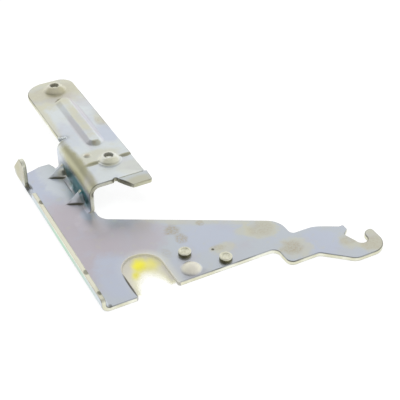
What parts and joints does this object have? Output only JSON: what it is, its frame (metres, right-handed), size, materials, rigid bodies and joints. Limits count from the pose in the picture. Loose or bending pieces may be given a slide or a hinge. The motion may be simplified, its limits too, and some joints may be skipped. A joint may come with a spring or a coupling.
{
  "type": "dishwasher door hinge",
  "caption": "Folded zinc-plated steel dishwasher door hinge arm with a U-shaped pivot slot, a raised door strip with formed screw bosses, a stop ear and a spring hook.",
  "frame": {"origin": "on the pivot axis, the centre of the slot's round end, at the middle of the arm plate's thickness", "axes": "+X along the arm towards the spring hook, +Y along the raised door strip, +Z square to the plate, on the side the strip is raised to"},
  "size_m": [0.1775, 0.2464, 0.0278],
  "materials": {
    "zinc_sheet": "bright zinc plating, faintly iridescent",
    "zinc_stud": "bright zinc plating"
  },
  "bodies": {
    "root": {"hinge_arm": "zinc_sheet", "inner_stud": "zinc_stud", "outer_stud": "zinc_stud"}
  },
  "joints": []
}
